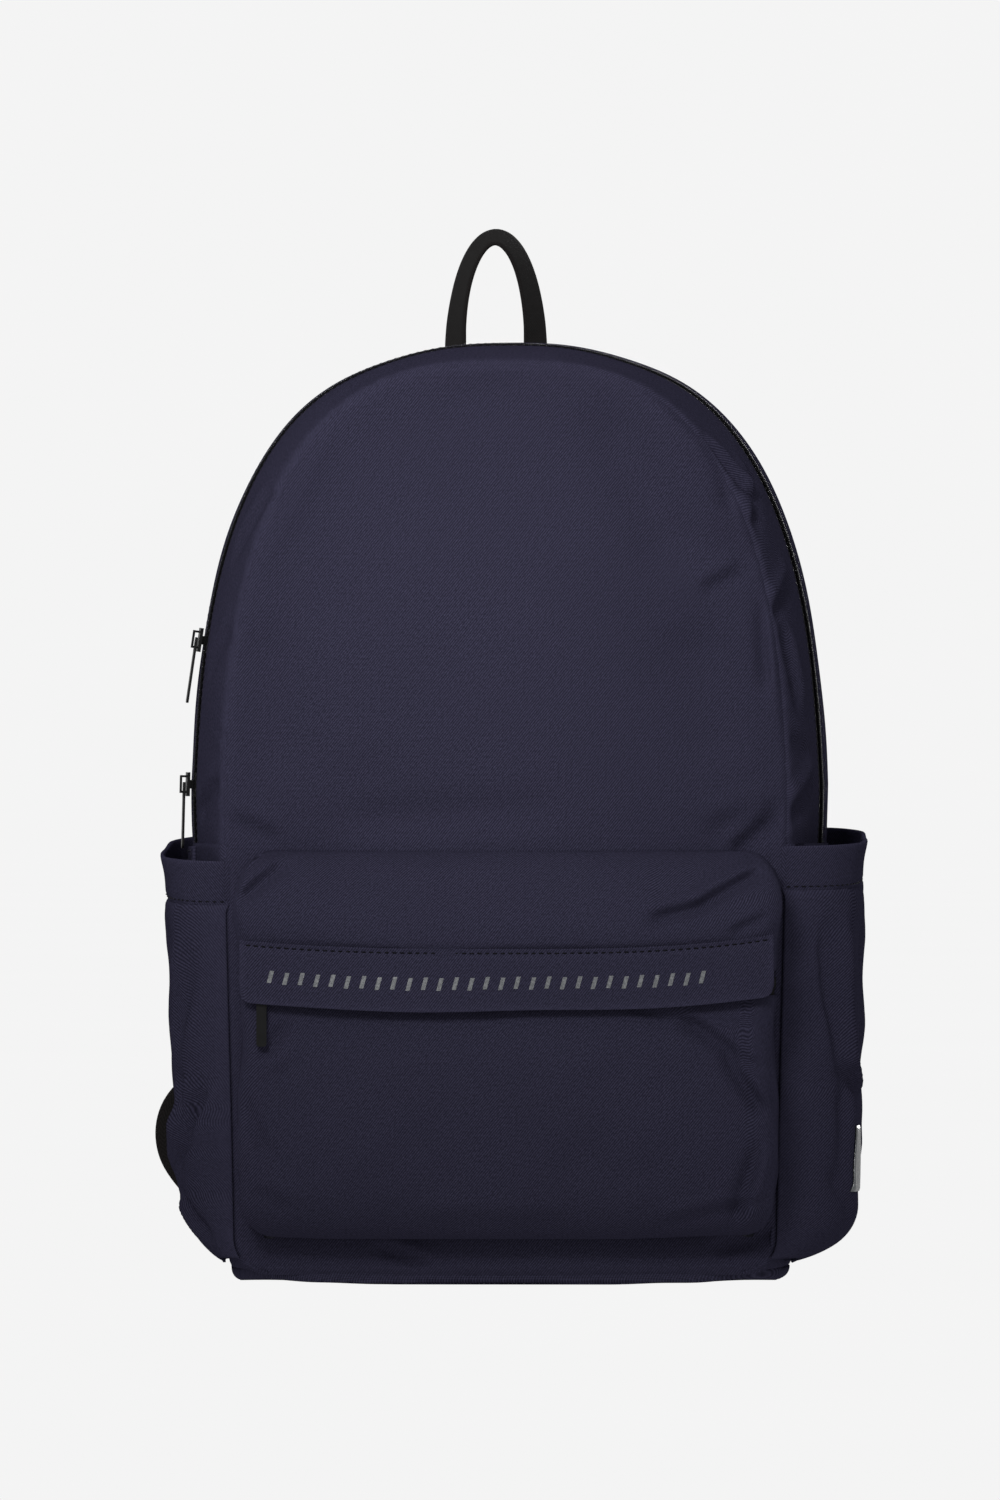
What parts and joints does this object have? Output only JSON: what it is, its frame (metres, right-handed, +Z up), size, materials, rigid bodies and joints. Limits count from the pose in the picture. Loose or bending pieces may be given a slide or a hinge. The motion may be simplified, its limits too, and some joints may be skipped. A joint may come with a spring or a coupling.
{
  "type": "school backpack",
  "caption": "Arched fabric school backpack with a zipped main compartment, front pocket under a storm flap, side pockets, padded back and shoulder straps.",
  "frame": {"origin": "centre of the stiffened base's underside, on the surface that the bag stands on", "axes": "+Z up, -Y towards the front pocket, +Y towards the wearer's back, +X to the right as seen from the front"},
  "size_m": [0.3207, 0.2166, 0.4854],
  "materials": {
    "navy_fabric": "matte twill weave",
    "navy_back_mesh": "matte spacer mesh",
    "black_webbing": "matte ribbed webbing",
    "zip_tape": "matte tape",
    "black_metal": "gloss",
    "black_plastic": "satin",
    "lining": "smooth lining",
    "foam": "closed foam",
    "board": "satin sheet",
    "reflective": "reflective tape"
  },
  "bodies": {
    "bag": {"front_panel_lower": "navy_fabric", "gusset_rear": "navy_fabric", "side_panel_left": "navy_fabric", "side_panel_right": "navy_fabric", "base_panel": "navy_fabric", "base_board": "board", "back_panel": "navy_back_mesh", "back_foam": "foam", "back_lining": "lining", "sleeve_panel": "lining", "loop_patch": "black_webbing", "yoke_panel": "navy_fabric", "main_zip_tape_rear": "zip_tape", "zip_end_tab_left": "navy_fabric", "zip_end_tab_right": "navy_fabric", "pocket_lower": "navy_fabric", "pocket_upper": "navy_fabric", "pocket_zip_tape_lower": "zip_tape", "pocket_zip_tape_upper": "zip_tape", "reflective_tab": "reflective", "side_pocket_left": "navy_fabric", "side_pocket_hem_left": "navy_fabric", "lower_webbing_left": "black_webbing", "anchor_tab_left": "navy_fabric", "side_pocket_right": "navy_fabric", "side_pocket_hem_right": "navy_fabric", "lower_webbing_right": "black_webbing", "anchor_tab_right": "navy_fabric"},
    "lid": {"front_panel_upper": "navy_fabric", "gusset_front": "navy_fabric", "main_zip_tape_front": "zip_tape"},
    "main_slider_lower": {"main_slider_lower": "black_metal"},
    "main_pull_lower": {"main_pull_lower": "black_metal"},
    "main_slider_upper": {"main_slider_upper": "black_metal"},
    "main_pull_upper": {"main_pull_upper": "black_metal"},
    "pocket_slider": {"pocket_slider": "black_metal"},
    "pocket_pull": {"pocket_pull": "black_metal"},
    "storm_flap": {"storm_flap": "navy_fabric"},
    "grab_handle": {"grab_handle": "black_webbing"},
    "sleeve_closure": {"sleeve_strap": "black_webbing", "hook_patch": "black_webbing"},
    "strap_left": {"shoulder_strap_left": "navy_back_mesh"},
    "lock_left": {"ladder_lock_left": "black_plastic"},
    "tail_left": {"webbing_tail_left": "black_webbing"},
    "strap_right": {"shoulder_strap_right": "navy_back_mesh"},
    "lock_right": {"ladder_lock_right": "black_plastic"},
    "tail_right": {"webbing_tail_right": "black_webbing"}
  },
  "joints": [
    {"name": "lid_open", "type": "hinge", "parent": "bag", "child": "lid", "pos_m": [0, -0.0738, 0.2], "axis": [1, 0, 0], "range_deg": [0, 70]},
    {"name": "main_slider_lower_run", "type": "slide", "parent": "bag", "child": "main_slider_lower", "axis": [0.0514, 0, 0.9987], "range_m": [0, 0.02]},
    {"name": "main_pull_lower_swing", "type": "hinge", "parent": "main_slider_lower", "child": "main_pull_lower", "pos_m": [-0.14856, -0.0144, 0.22857], "axis": [-0.1339, 0.991, 0.0033], "range_deg": [0, 170]},
    {"name": "main_slider_upper_run", "type": "slide", "parent": "bag", "child": "main_slider_upper", "axis": [0.1453, 0, 0.9894], "range_m": [-0.01, 0.006]},
    {"name": "main_pull_upper_swing", "type": "hinge", "parent": "main_slider_upper", "child": "main_pull_upper", "pos_m": [-0.14292, -0.0144, 0.29492], "axis": [-0.1316, 0.9911, 0.0192], "range_deg": [0, 170]},
    {"name": "pocket_slider_run", "type": "slide", "parent": "bag", "child": "pocket_slider", "axis": [1, 0, 0], "range_m": [0, 0.215]},
    {"name": "pocket_pull_swing", "type": "hinge", "parent": "pocket_slider", "child": "pocket_pull", "pos_m": [-0.1095, -0.1042, 0.138], "axis": [0, 1, 0], "range_deg": [-80, 25]},
    {"name": "storm_flap_lift", "type": "hinge", "parent": "bag", "child": "storm_flap", "pos_m": [0, -0.10715, 0.1565], "axis": [-1, 0, 0], "range_deg": [0, 75]},
    {"name": "grab_handle_fold", "type": "hinge", "parent": "bag", "child": "grab_handle", "pos_m": [-0.0082, 0.0632, 0.4254], "axis": [1, 0, 0], "range_deg": [-30, 60], "stiffness_Nm_per_rad": 0.03},
    {"name": "sleeve_strap_lift", "type": "hinge", "parent": "bag", "child": "sleeve_closure", "pos_m": [0, 0.0531, 0.345], "axis": [-1, 0, 0], "range_deg": [0, 60]},
    {"name": "strap_left_swing", "type": "hinge", "parent": "bag", "child": "strap_left", "pos_m": [-0.04, 0.0709, 0.3915], "axis": [1, 0, 0], "range_deg": [0, 15], "deforming": ["lower_webbing_left"]},
    {"name": "ladder_lock_left_tilt", "type": "hinge", "parent": "strap_left", "child": "lock_left", "pos_m": [-0.106, 0.094, 0.1415], "axis": [1, 0, 0], "range_deg": [0, 35]},
    {"name": "webbing_tail_left_swing", "type": "hinge", "parent": "lock_left", "child": "tail_left", "pos_m": [-0.1126, 0.0964, 0.1115], "axis": [1, 0, 0], "range_deg": [0, 50]},
    {"name": "strap_right_swing", "type": "hinge", "parent": "bag", "child": "strap_right", "pos_m": [0.04, 0.0709, 0.3915], "axis": [1, 0, 0], "range_deg": [0, 15], "deforming": ["lower_webbing_right"]},
    {"name": "ladder_lock_right_tilt", "type": "hinge", "parent": "strap_right", "child": "lock_right", "pos_m": [0.106, 0.094, 0.1415], "axis": [1, 0, 0], "range_deg": [0, 35]},
    {"name": "webbing_tail_right_swing", "type": "hinge", "parent": "lock_right", "child": "tail_right", "pos_m": [0.1126, 0.0964, 0.1115], "axis": [1, 0, 0], "range_deg": [0, 50]}
  ]
}
